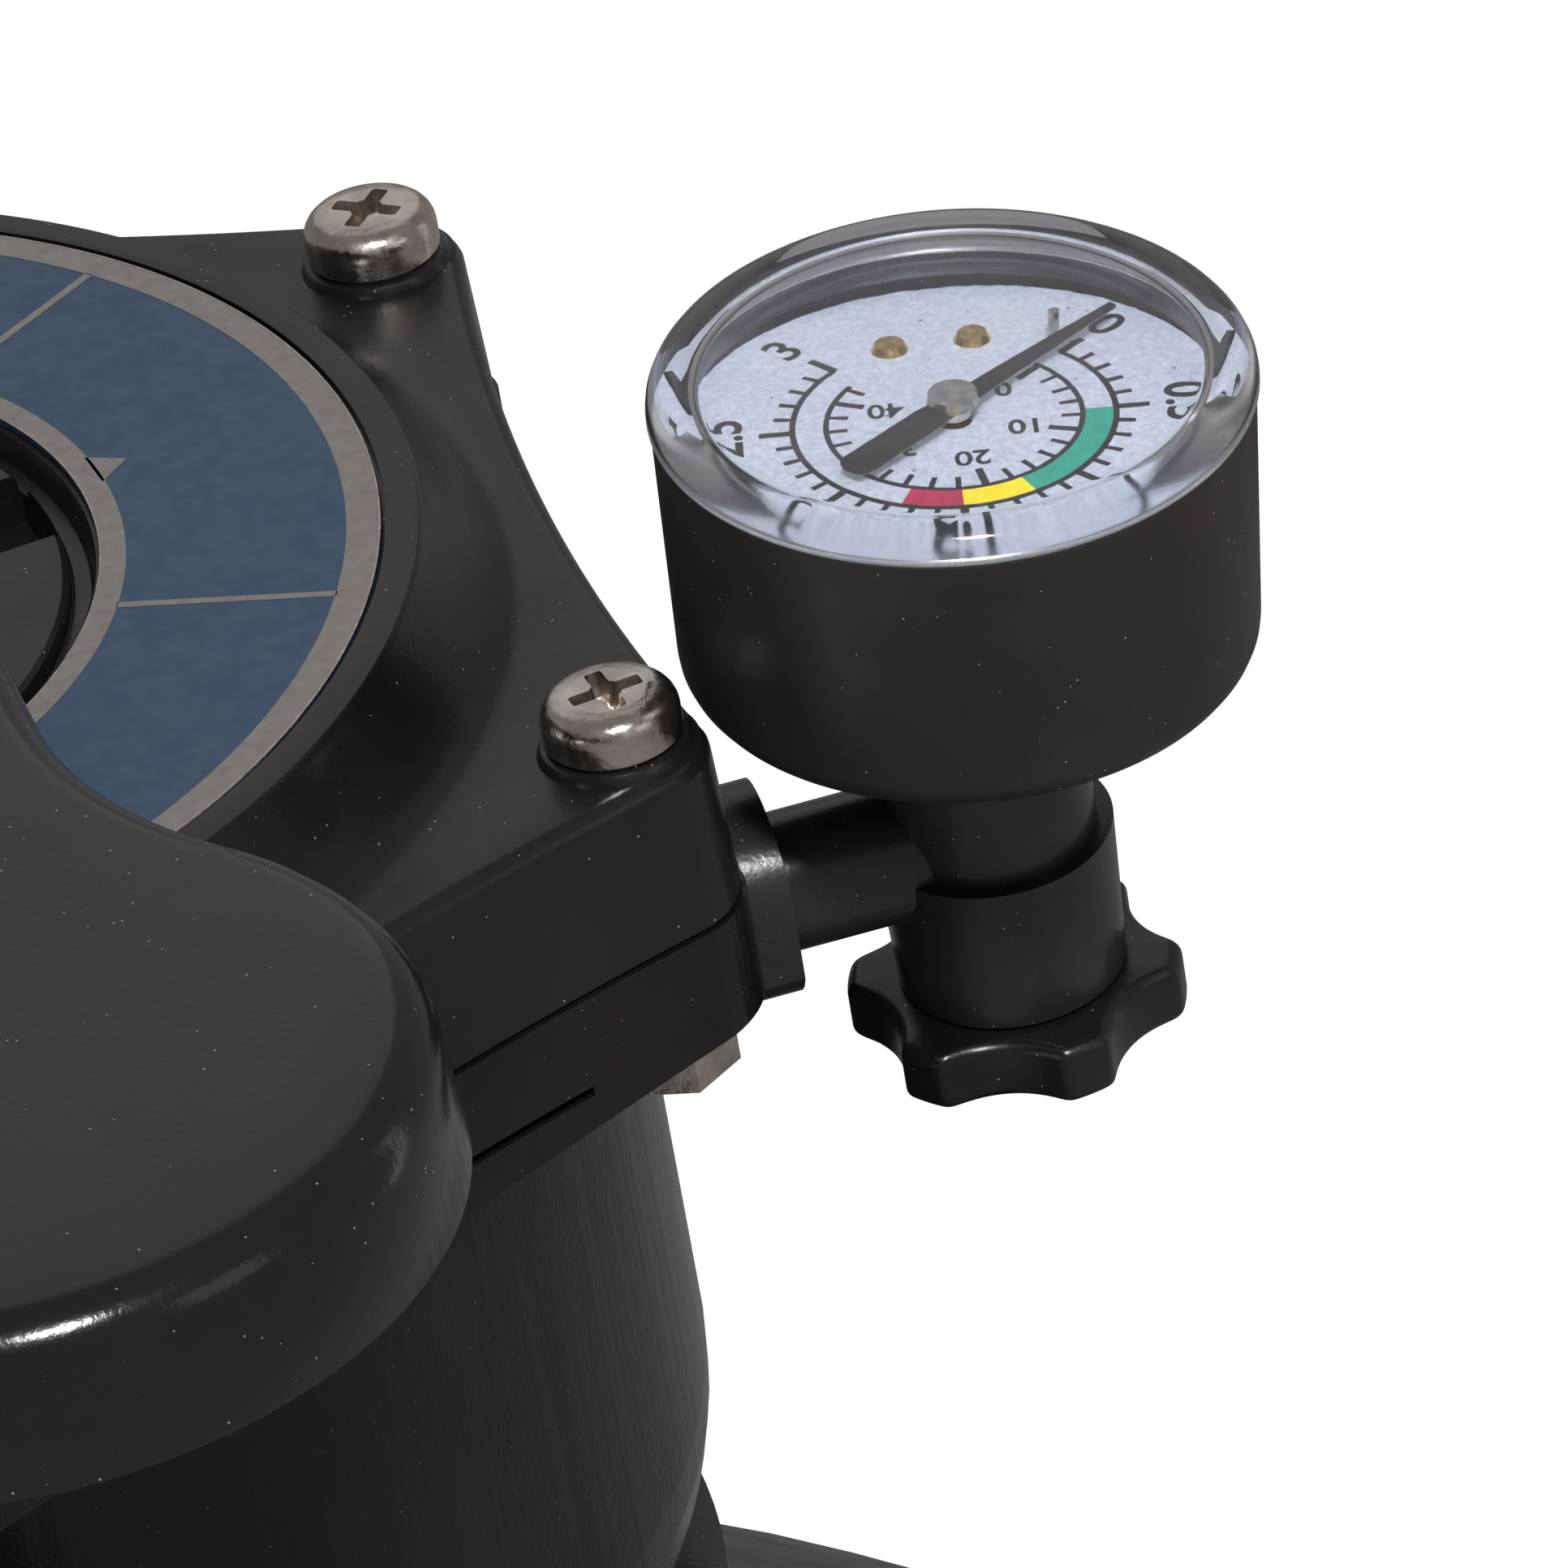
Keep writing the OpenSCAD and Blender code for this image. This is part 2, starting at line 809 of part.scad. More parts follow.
module fitting_seal() color(grey_rubber) {
    translate([fitting_at[0], fitting_at[1], fitting_at[2]])
        rotate([0, 90, 0])
            ring(seal_r, shank_r + 0.1, boss_end_x + 0.05 - fitting_at[0], 0.55);
}

// Outline of the bleed knob: six points with hollow arcs between them
knob_hollow_r = 12;
function knob_side(k) = let (a = 60 * k + 40, c = turn([knob_hollow_r + knob_arc_r, 0], a + 30))
    concat([for (p = arc([knob_r - knob_point_r, 0], knob_point_r, -70, 70, 6)) turn(p, a)],
        [for (t = [-24:8:24])
            [c[0] - knob_arc_r * cos(a + 30 - t), c[1] - knob_arc_r * sin(a + 30 - t)]]);

module bleed_knob() color(black_plastic) {
    at_fitting()
        difference() {
            union() {
                translate([0, 0, post_bottom - knob_h - 0.3])
                    linear_extrude(knob_h)
                        polygon([for (k = [0:sides - 1]) each knob_side(k)]);
                translate([0, 0, post_bottom - 3])
                    cylinder(r = 4, h = 12);
            }
            ring(4.5, 3, post_bottom + 5, 1.8);
        }
}

module bleed_seal() color(grey_rubber) {
    at_fitting()
        torus(3.5, 0.45, post_bottom + 5.9);
}

// ---- Pressure gauge ----

module gauge_washer() color(grey_rubber) {
    at_gauge()
        ring(7.6, thread_r + 0.1, case_floor - 0.3, 0.27);
}

module gauge_case() color(black_plastic) {
    at_gauge()
        difference() {
            rotate_extrude()
                polygon(concat([[0, case_floor]], arc([gauge_r - 3.8, case_floor + 3], 3, -90, 0, 6),
                    [[gauge_r, case_floor + case_h], [0, case_floor + case_h]]));
            translate([0, 0, case_floor + 2])
                cylinder(r = 22.4, h = case_h);
            translate([0, 0, case_floor + case_h - dial_depth - dial_h])
                cylinder(r = 24.2, h = 10);
            translate([0, 0, -5])
                cylinder(r = 6.1, h = 20);
        }
}

lens_z = case_floor + case_h;
dial_top = lens_z - dial_depth;
dial_h = 0.6;
lens_lip_h = 1.6;

module gauge_lens() color(clear, 0.3) {
    at_gauge()
        difference() {
            rotate_extrude()
                polygon(concat([[0, lens_z - lens_lip_h], [24, lens_z - lens_lip_h], [24, lens_z + 0.02],
                    [gauge_r + 0.2, lens_z + 0.02]],
                    arc([gauge_r - 2.2, lens_z + lens_h - 2.4], 2.4, 0, 90, 6), [[0, lens_z + lens_h]]));
            translate([0, 0, lens_z - lens_lip_h - 1])
                cylinder(r = 22.6, h = lens_h + lens_lip_h - 0.6);
        }
}

module gauge_dial() color("#f2f3f5") {
    at_gauge()
        difference() {
            translate([0, 0, dial_top - dial_h])
                cylinder(r = 24, h = dial_h);
            translate([0, 0, dial_top - 3])
                cylinder(r = 1.6, h = 6);
            for (a = dial_screw_angles)
                rotate(a)
                    translate([dial_screw_r, 0, dial_top - 3])
                        cylinder(r = 1, h = 6);
        }
}

module dial_screws() color(brass) {
    at_gauge()
        for (a = dial_screw_angles)
            rotate(a)
                translate([dial_screw_r, 0, 0]) {
                    translate([0, 0, dial_top])
                        cylinder(r1 = 1.7, r2 = 1.3, h = 0.7);
                    translate([0, 0, dial_top - 3])
                        cylinder(r = 0.95, h = 3.1);
                }
}

module stop_pin() color(steel) {
    at_gauge()
        rotate(pointer_angle + 8)
            translate([stop_pin_r, 0, dial_top])
                cylinder(r = 0.5, h = 3);
}

module gauge_pointer() color("#141414") {
    at_gauge()
        rotate(pointer_angle)
            translate([0, 0, dial_top + 1.7])
                difference() {
                    linear_extrude(0.4)
                        polygon([[-12.2, 1.5], [-13.2, 0.8], [-13.2, -0.8], [-12.2, -1.5], [-3, -1.4], [3, -0.9],
                            [20.6, -0.3], [20.6, 0.3], [3, 0.9], [-3, 1.4]]);
                    translate([0, 0, -1])
                        cylinder(r = 0.9, h = 3);
                }
}

module pointer_hub() color(steel) {
    at_gauge() {
        difference() {
            translate([0, 0, dial_top + 0.7])
                cylinder(r = 1.5, h = 0.95);
            translate([0, 0, dial_top])
                cylinder(r = 0.85, h = 4);
        }
        translate([0, 0, dial_top + 2.15])
            cylinder(r1 = 2.3, r2 = 2.1, h = 1);
    }
}

// A gear's outline: plain tapered teeth, a little thin for easy running
function gear_points(teeth, from, to, thin) = let (m = gear_module, r = teeth * m / 2, p = 360 / teeth)
    [for (k = [from:to]) each [
        [(r - 1.15 * m) * cos((k - 0.34) * p), (r - 1.15 * m) * sin((k - 0.34) * p)],
        [(r + 0.85 * m) * cos((k - thin) * p), (r + 0.85 * m) * sin((k - thin) * p)],
        [(r + 0.85 * m) * cos((k + thin) * p), (r + 0.85 * m) * sin((k + thin) * p)],
        [(r - 1.15 * m) * cos((k + 0.34) * p), (r - 1.15 * m) * sin((k + 0.34) * p)]]];

gear_z = dial_top - 6;

module pointer_arbor() color(brass) {
    at_gauge() {
        translate([0, 0, gear_z])
            rotate(180 / pinion_teeth)
                linear_extrude(2)
                    polygon(gear_points(pinion_teeth, 0, pinion_teeth - 1, 0.07));
        translate([0, 0, gear_z - 5])
            cylinder(r = 0.8, h = dial_top + 2.15 - gear_z + 5);
    }
}

module sector_gear() color(brass) {
    at_gauge()
        translate([sector_at[0], sector_at[1], 0]) {
            translate([0, 0, gear_z + 0.3])
                linear_extrude(1.4)
                    polygon(concat(gear_points(sector_teeth, -9, 1, 0.09), arc([0, 0], 2.2, 60, 250, 6)));
            translate([0, 0, gear_z - 5])
                cylinder(r = 0.8, h = 10);
        }
}

module movement_frame() color(brass) {
    at_gauge() {
        difference() {
            union() {
                for (z = [gear_z - 5.6, gear_z + 3.4])
                    translate([-19, -7, z])
                        cube([26, 14, 1]);
                for (y = [-5.5, 5.5])
                    translate([4.6, y, gear_z - 5])
                        cylinder(r = 1.2, h = 9);
            }
            translate([0, 0, gear_z - 10])
                cylinder(r = 0.85, h = 30);
            translate([sector_at[0], sector_at[1], gear_z - 10])
                cylinder(r = 0.85, h = 30);
        }
    }
}

module gauge_socket() color(brass) {
    at_gauge()
        difference() {
            union() {
                translate([0, 0, -9.5])
                    cylinder(r = thread_r, h = 12);
                translate([0, 0, case_floor + 0.05])
                    cylinder(r = 6, h = 2.2);
                translate([-5, -5, case_floor + 2.05])
                    cube([10, 10, gear_z - 5.6 - case_floor - 2.05]);
                rotate(-55)
                    translate([0, -2, case_floor + 3.5])
                        cube([17.5, 4, 5]);
            }
            translate([0, 0, -10])
                cylinder(r = 1.5, h = 12);
        }
}

module bourdon_tube() color("#9c6b3c") {
    at_gauge()
        translate([0, 0, case_floor + 6])
            rotate(-58)
                rotate_extrude(angle = 250)
                    translate([18.5, 0])
                        square([2, 5], center = true);
}

base_stand();
tank_shell();
drain_gasket();
drain_cap();
standpipe();
lateral_hub();
lateral(0);  // lateral_1
lateral(1);  // lateral_2
lateral(2);  // lateral_3
lateral(3);  // lateral_4
lateral(4);  // lateral_5
lateral(5);  // lateral_6
diffuser();
neck_oring();
clamp_half(-1);  // clamp_half_front
clamp_half(1);  // clamp_half_back
clamp_bolts();
clamp_nuts();
valve_body();
lid();
lid_oring();
lid_screws();
lid_washers();
lid_nuts();
label_disc();
spider_gasket();
rotor();
stem_orings();
rotor_spring();
spring_washer();
turning_washer();
handle();
handle_pin();
gauge_tee();
fitting_seal();
gauge_washer();
gauge_case();
gauge_lens();
gauge_dial();
dial_screws();
stop_pin();
gauge_pointer();
pointer_hub();
pointer_arbor();
gauge_socket();
bourdon_tube();
movement_frame();
sector_gear();
bleed_knob();
bleed_seal();
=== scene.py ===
import math

import bmesh
import bpy
from mathutils import Matrix, Vector


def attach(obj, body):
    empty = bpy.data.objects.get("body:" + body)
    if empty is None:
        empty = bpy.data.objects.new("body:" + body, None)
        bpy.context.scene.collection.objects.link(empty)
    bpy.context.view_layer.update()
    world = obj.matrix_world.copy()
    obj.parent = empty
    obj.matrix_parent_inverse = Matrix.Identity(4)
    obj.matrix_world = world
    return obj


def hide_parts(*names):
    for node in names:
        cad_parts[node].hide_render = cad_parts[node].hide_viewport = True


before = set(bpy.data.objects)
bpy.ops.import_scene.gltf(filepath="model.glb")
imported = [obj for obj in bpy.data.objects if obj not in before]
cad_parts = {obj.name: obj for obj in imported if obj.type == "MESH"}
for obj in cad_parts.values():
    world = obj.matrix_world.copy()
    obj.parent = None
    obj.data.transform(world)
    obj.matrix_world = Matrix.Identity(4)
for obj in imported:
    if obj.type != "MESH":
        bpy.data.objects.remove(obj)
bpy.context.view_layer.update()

MM = 0.001
LABEL_Z = 732.0
LID_TOP = LABEL_Z - 9.5
JOINT_Z = LID_TOP - 15.6
HUB_FACE = LABEL_Z - 1.5
LABEL_IN, LABEL_OUT, LABEL_HOLE = 42.3, 66.6, 42.2
INK_LOW = LABEL_Z - 0.06
HUB_HOLE, HUB_OUT = 15.2, 39.6
LABEL_TURN = 7.2
HANDLE_TURN = -85.2
POINTER_ANGLE = 32.0
SIDES = 6

rot = Matrix.Rotation
move = Matrix.Translation
FIT = move((108.9, -35, LABEL_Z - 33)) @ rot(math.radians(3.6), 4, "X")
GAUGE = FIT @ move((0.5, 0, 17.5)) @ rot(math.radians(4.0), 4, "Y")
HANDLE = rot(math.radians(HANDLE_TURN), 4, "Z")
CASE_Z, LENS_Z = 0.9, 26.7
DIAL_Z = LENS_Z - 3.4


# ---- Mesh helpers. Sizes are in millimetres until the last step ----

def finish_mesh(name, bm, mat, at=None, body="filter", smooth=35.0, bevel=0.0, segments=2):
    if at is not None:
        bm.transform(at)
    bm.transform(Matrix.Scale(MM, 4))
    bmesh.ops.recalc_face_normals(bm, faces=bm.faces)
    mesh = bpy.data.meshes.new(name)
    bm.to_mesh(mesh)
    bm.free()
    obj = bpy.data.objects.new(name, mesh)
    bpy.context.scene.collection.objects.link(obj)
    mesh.materials.append(mat)
    mesh.shade_smooth()
    mesh.set_sharp_from_angle(angle=math.radians(smooth))
    if bevel:
        soften(obj, bevel, segments)
    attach(obj, body)
    return obj


def soften(obj, width, segments=2, angle=32.0):
    mod = obj.modifiers.new("edge", "BEVEL")
    mod.width = width * MM
    mod.segments = segments
    mod.limit_method = "ANGLE"
    mod.angle_limit = math.radians(angle)
    mod.harden_normals = True
    mod.use_clamp_overlap = True


def loft(bm, rings, cap_first=False, cap_last=False, loop=False):
    rows = [[bm.verts.new(p) for p in ring] for ring in rings]
    n = len(rows[0])
    for a, b in zip(rows, rows[1:] + rows[:1] if loop else rows[1:]):
        for i in range(n):
            j = (i + 1) % n
            bm.faces.new([a[i], a[j], b[j], b[i]])
    if cap_first:
        bm.faces.new(list(reversed(rows[0])))
    if cap_last:
        bm.faces.new(rows[-1])
    return rows


def lathe(bm, profile, n=128):
    ends = [abs(r) < 1e-6 for r, z in (profile[0], profile[-1])]
    loop = profile[0] == profile[-1]
    body = profile[(1 if ends[0] else 0):(len(profile) - 1 if ends[1] or loop else len(profile))]
    rings = [[(r * math.cos(2 * math.pi * i / n), r * math.sin(2 * math.pi * i / n), z) for i in range(n)]
             for r, z in body]
    rows = loft(bm, rings, loop=loop)
    for end, row, (r, z) in ((ends[0], rows[0], profile[0]), (ends[1], rows[-1], profile[-1])):
        if end:
            tip = bm.verts.new((0, 0, z))
            for i in range(n):
                bm.faces.new([row[i], row[(i + 1) % n], tip])
    return rows


def arc(cx, cy, r, a, b, n):
    return [(cx + r * math.cos(math.radians(a + (b - a) * i / n)),
             cy + r * math.sin(math.radians(a + (b - a) * i / n))) for i in range(n + 1)]


def prism(bm, outline, z0, z1):
    low = [bm.verts.new((x, y, z0)) for x, y in outline]
    high = [bm.verts.new((x, y, z1)) for x, y in outline]
    n = len(outline)
    bm.faces.new(list(reversed(low)))
    bm.faces.new(high)
    for i in range(n):
        bm.faces.new([low[i], low[(i + 1) % n], high[(i + 1) % n], high[i]])


def turned(points, angle):
    c, s = math.cos(math.radians(angle)), math.sin(math.radians(angle))
    return [(x * c - y * s, x * s + y * c) for x, y in points]


def band(bm, r0, r1, a0, a1, z0, z1, step=2.0):
    n = max(2, int(abs(a1 - a0) / step))
    prism(bm, arc(0, 0, r1, a0, a1, n) + arc(0, 0, r0, a1, a0, n), z0, z1)


def bar(bm, r0, r1, angle, width, z0, z1):
    prism(bm, turned([(r0, -width / 2), (r1, -width / 2), (r1, width / 2), (r0, width / 2)], angle), z0, z1)


# ---- Materials ----

class Nodes:
    def __init__(self, name):
        self.mat = bpy.data.materials.new(name)
        self.mat.use_nodes = True
        self.tree = self.mat.node_tree
        self.shader = self.tree.nodes["Principled BSDF"]
        self.out = self.tree.nodes["Material Output"]
        self.coord = self.add("ShaderNodeTexCoord").outputs["Object"]

    def add(self, kind, **props):
        node = self.tree.nodes.new(kind)
        for key, value in props.items():
            setattr(node, key, value)
        return node

    def link(self, a, b):
        self.tree.links.new(a, b)

    def noise(self, scale, detail=4.0, stretch=None, rough=0.55):
        node = self.add("ShaderNodeTexNoise")
        node.inputs["Scale"].default_value = scale
        node.inputs["Detail"].default_value = detail
        node.inputs["Roughness"].default_value = rough
        if stretch:
            mapping = self.add("ShaderNodeMapping")
            mapping.inputs["Scale"].default_value = stretch[:3]
            if len(stretch) > 3:
                mapping.inputs["Rotation"].default_value = stretch[3:]
            self.link(self.coord, mapping.inputs["Vector"])
            self.link(mapping.outputs["Vector"], node.inputs["Vector"])
        else:
            self.link(self.coord, node.inputs["Vector"])
        return node.outputs["Fac"]

    def remap(self, value, a, b, lo, hi):
        node = self.add("ShaderNodeMapRange")
        node.inputs["From Min"].default_value = a
        node.inputs["From Max"].default_value = b
        node.inputs["To Min"].default_value = lo
        node.inputs["To Max"].default_value = hi
        self.link(value, node.inputs["Value"])
        return node.outputs["Result"]

    def math(self, op, a, b):
        node = self.add("ShaderNodeMath", operation=op)
        for i, v in enumerate((a, b)):
            if isinstance(v, (int, float)):
                node.inputs[i].default_value = v
            else:
                self.link(v, node.inputs[i])
        return node.outputs[0]

    def mix(self, factor, a, b):
        node = self.add("ShaderNodeMix", data_type="RGBA")
        self.link(factor, node.inputs["Factor"])
        for key, v in (("A", a), ("B", b)):
            socket = [s for s in node.inputs if s.name == key and s.type == "RGBA"][0]
            if isinstance(v, tuple):
                socket.default_value = (*v, 1)
            else:
                self.link(v, socket)
        return [s for s in node.outputs if s.type == "RGBA"][0]

    def specks(self, scale, size, keep):
        cells = self.add("ShaderNodeTexVoronoi")
        cells.inputs["Scale"].default_value = scale
        self.link(self.coord, cells.inputs["Vector"])
        split = self.add("ShaderNodeSeparateColor")
        self.link(cells.outputs["Color"], split.inputs[0])
        near = self.math("LESS_THAN", cells.outputs["Distance"], size)
        some = self.math("GREATER_THAN", split.outputs[0], keep)
        return self.math("MULTIPLY", near, some)

    def bump(self, height, strength, distance):
        node = self.add("ShaderNodeBump")
        node.inputs["Strength"].default_value = strength
        node.inputs["Distance"].default_value = distance
        self.link(height, node.inputs["Height"])
        self.link(node.outputs["Normal"], self.shader.inputs["Normal"])


def plastic(name, dark, light, rough=0.3, dust=0.3, streak=0.0, grain=0.25, scratch=0.5, specular=0.5):
    m = Nodes(name)
    tone = m.remap(m.noise(35, 6), 0.35, 0.7, 0, 1)
    colour = m.mix(tone, dark, light)
    marks = m.remap(m.noise(60, 2, (30, 900, 120, 0.4, 0.2, 0.7)), 0.71, 0.78, 0, scratch)
    colour = m.mix(marks, colour, (0.16, 0.15, 0.14))
    dots = m.math("MULTIPLY", m.specks(1500, 0.15, 0.955), dust)
    colour = m.mix(dots, colour, (0.5, 0.46, 0.42))
    m.link(colour, m.shader.inputs["Base Color"])
    m.link(m.remap(m.noise(120, 8), 0.3, 0.75, rough * 0.85, rough * 1.3), m.shader.inputs["Roughness"])
    m.shader.inputs["Specular IOR Level"].default_value = specular
    height = m.noise(1600, 3)
    if streak:
        lines = m.noise(1.0, 3, (260, 260, 9))
        height = m.math("ADD", m.math("MULTIPLY", height, grain), m.math("MULTIPLY", lines, streak))
        m.bump(height, 0.5, 0.0004)
    else:
        m.bump(height, grain, 0.0001)
    return m.mat


def metal(name, dark, light, rough=0.3, grain=0.4, scale=900, metallic=1.0):
    m = Nodes(name)
    m.shader.inputs["Metallic"].default_value = metallic
    tone = m.remap(m.noise(scale * 0.5, 6), 0.35, 0.65, 0, 1)
    m.link(m.mix(tone, dark, light), m.shader.inputs["Base Color"])
    m.link(m.remap(m.noise(scale, 6), 0.3, 0.7, rough * 0.6, rough * 1.5), m.shader.inputs["Roughness"])
    m.bump(m.noise(scale * 1.4, 5), grain, 0.0002)
    return m.mat


def print_ink(name, colour, other, rough=0.4):
    m = Nodes(name)
    m.link(m.mix(m.remap(m.noise(700, 5), 0.35, 0.65, 0, 1), colour, other), m.shader.inputs["Base Color"])
    m.link(m.remap(m.noise(300, 4), 0.3, 0.7, rough * 0.8, rough * 1.2), m.shader.inputs["Roughness"])
    return m.mat


def lens_material():
    m = Nodes("clear_lens")
    m.shader.inputs["Transmission Weight"].default_value = 1.0
    m.shader.inputs["IOR"].default_value = 1.49
    m.link(m.mix(m.remap(m.noise(90, 4), 0.3, 0.7, 0, 1), (0.93, 0.95, 1.0), (0.86, 0.9, 0.98)),
           m.shader.inputs["Base Color"])
    marks = m.noise(60, 2, (40, 1200, 200, 0.4, 0.2, 0.9))
    facing = m.add("ShaderNodeSeparateXYZ")
    m.link(m.add("ShaderNodeNewGeometry").outputs["Normal"], facing.inputs[0])
    side = m.remap(m.math("ABSOLUTE", facing.outputs["Z"], 0.0), 0.3, 0.9, 0.17, 0.0)
    m.link(m.math("ADD", side, m.remap(marks, 0.66, 0.76, 0.03, 0.3)), m.shader.inputs["Roughness"])
    m.bump(m.noise(140, 3), 0.05, 0.0004)
    clear = m.add("ShaderNodeBsdfTransparent")
    clear.inputs["Color"].default_value = (0.93, 0.95, 0.99, 1)
    path = m.add("ShaderNodeLightPath")
    blend = m.add("ShaderNodeMixShader")
    m.link(path.outputs["Is Shadow Ray"], blend.inputs["Fac"])
    m.link(m.shader.outputs["BSDF"], blend.inputs[1])
    m.link(clear.outputs["BSDF"], blend.inputs[2])
    m.link(blend.outputs["Shader"], m.out.inputs["Surface"])
    return m.mat


black = plastic("black_plastic", (0.006, 0.0055, 0.005), (0.013, 0.012, 0.011), rough=0.26, dust=0.5)
wall_black = plastic("wall_plastic", (0.006, 0.0052, 0.005), (0.011, 0.009, 0.0085), rough=0.16, dust=0.15,
                     streak=0.9, specular=0.35)
handle_black = plastic("handle_plastic", (0.007, 0.006, 0.0055), (0.012, 0.0105, 0.0095), rough=0.16,
                       dust=0.6)
tank_black = plastic("tank_plastic", (0.006, 0.006, 0.006), (0.011, 0.011, 0.011), rough=0.3, dust=0.2)
case_black = plastic("case_plastic", (0.012, 0.0105, 0.0095), (0.02, 0.017, 0.015), rough=0.42, dust=0.4)
tee_black = plastic("tee_plastic", (0.009, 0.009, 0.009), (0.028, 0.027, 0.027), rough=0.22, dust=0.3,
                    scratch=0.9)
white_plastic = plastic("white_plastic", (0.62, 0.62, 0.59), (0.72, 0.72, 0.7), rough=0.4, dust=0.0,
                        scratch=0.0)
rubber = plastic("black_rubber", (0.01, 0.01, 0.01), (0.02, 0.02, 0.02), rough=0.6, dust=0.1, scratch=0.0)
steel = metal("tumbled_steel", (0.5, 0.45, 0.42), (0.78, 0.73, 0.69), rough=0.2, grain=0.4, scale=620)
spring_steel = metal("spring_steel", (0.45, 0.45, 0.45), (0.6, 0.6, 0.6), rough=0.3)
nickel = metal("nickel", (0.4, 0.37, 0.34), (0.62, 0.58, 0.55), rough=0.14, grain=0.12, scale=1600)
brass = metal("turned_brass", (0.55, 0.34, 0.1), (0.85, 0.6, 0.25), rough=0.16, grain=0.3, scale=1400)
bronze = metal("bronze", (0.4, 0.22, 0.1), (0.6, 0.36, 0.18), rough=0.3)
blue = print_ink("label_blue", (0.023, 0.06, 0.125), (0.028, 0.07, 0.14), rough=0.36)
silver = metal("label_silver", (0.28, 0.265, 0.26), (0.35, 0.335, 0.325), rough=0.42, grain=0.08, scale=1500,
               metallic=0.6)
ink = print_ink("dial_ink", (0.008, 0.008, 0.009), (0.016, 0.016, 0.017))
green = print_ink("dial_green", (0.015, 0.22, 0.15), (0.02, 0.27, 0.19))
yellow = print_ink("dial_yellow", (0.72, 0.55, 0.01), (0.8, 0.63, 0.02))
red = print_ink("dial_red", (0.3, 0.012, 0.045), (0.36, 0.02, 0.06))
pointer_ink = print_ink("pointer_black", (0.006, 0.006, 0.006), (0.01, 0.01, 0.01), rough=0.6)
lens_clear = lens_material()


def dial_white():
    m = Nodes("dial_white")
    speckle = m.remap(m.noise(1500, 5, None, 0.7), 0.4, 0.66, 0, 1)
    colour = m.mix(speckle, (0.38, 0.405, 0.455), (0.54, 0.565, 0.605))
    colour = m.mix(m.math("MULTIPLY", m.specks(700, 0.14, 0.9), 0.8), colour, (0.1, 0.11, 0.13))
    m.link(colour, m.shader.inputs["Base Color"])
    m.link(m.remap(m.noise(800, 4), 0.3, 0.7, 0.4, 0.6), m.shader.inputs["Roughness"])
    m.bump(m.noise(900, 5), 0.5, 0.0002)
    return m.mat


dial_paint = dial_white()

FINISH = {
    "base_stand": (tank_black, 1.2), "tank_shell": (tank_black, 0.0), "drain_cap": (black, 0.5),
    "drain_gasket": (rubber, 0.0), "standpipe": (white_plastic, 0.0), "lateral_hub": (white_plastic, 0.0),
    "diffuser": (white_plastic, 0.0), "neck_oring": (rubber, 0.0), "clamp_half_front": (black, 0.9),
    "clamp_half_back": (black, 0.9), "clamp_bolts": (steel, 0.25), "clamp_nuts": (steel, 0.25),
    "valve_body": (wall_black, 0.7), "lid_oring": (rubber, 0.0), "lid_washers": (steel, 0.15),
    "lid_nuts": (steel, 0.35), "spider_gasket": (rubber, 0.0), "rotor": (white_plastic, 0.3),
    "stem_orings": (rubber, 0.0), "rotor_spring": (spring_steel, 0.0), "spring_washer": (steel, 0.0),
    "turning_washer": (white_plastic, 0.0), "handle_pin": (steel, 0.3), "gauge_tee": (tee_black, 0.35),
    "fitting_seal": (rubber, 0.0), "gauge_washer": (rubber, 0.0), "gauge_dial": (dial_paint, 0.0),
    "dial_screws": (brass, 0.1), "stop_pin": (nickel, 0.08), "pointer_hub": (nickel, 0.12),
    "pointer_arbor": (brass, 0.0), "gauge_socket": (brass, 0.0), "bourdon_tube": (bronze, 0.0),
    "movement_frame": (brass, 0.0), "sector_gear": (brass, 0.0),
    "bleed_seal": (rubber, 0.0),
}
for k in range(1, 7):
    FINISH[f"lateral_{k}"] = (white_plastic, 0.0)
for name, (mat, width) in FINISH.items():
    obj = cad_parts[name]
    for i in range(len(obj.material_slots)):
        obj.material_slots[i].material = mat
    if width:
        soften(obj, width)


# ---- Lid: the wall, the rounded rim, the raised label seat and the hub's face ----

PITCH_R, CORNER_R, SIDE_R = 88.7, 8.3, 81.5
sag = PITCH_R * math.cos(math.radians(30)) + CORNER_R - SIDE_R
half = PITCH_R * math.sin(math.radians(30))
SIDE_ARC = (half * half + sag * sag) / (2 * sag)


def lid_outline(grow):
    one = []
    for i in range(-16, 17):
        y = half * i / 16
        one.append((SIDE_R + grow + SIDE_ARC - math.sqrt(SIDE_ARC ** 2 - y * y), y))
    one += arc(PITCH_R * math.cos(math.radians(30)), half, CORNER_R + grow, 6, 54, 12)
    return [p for k in range(SIDES) for p in turned(one, 60 * k)]


def radial(r):
    return [(r * x / math.hypot(x, y), r * y / math.hypot(x, y)) for x, y in lid_outline(0)]


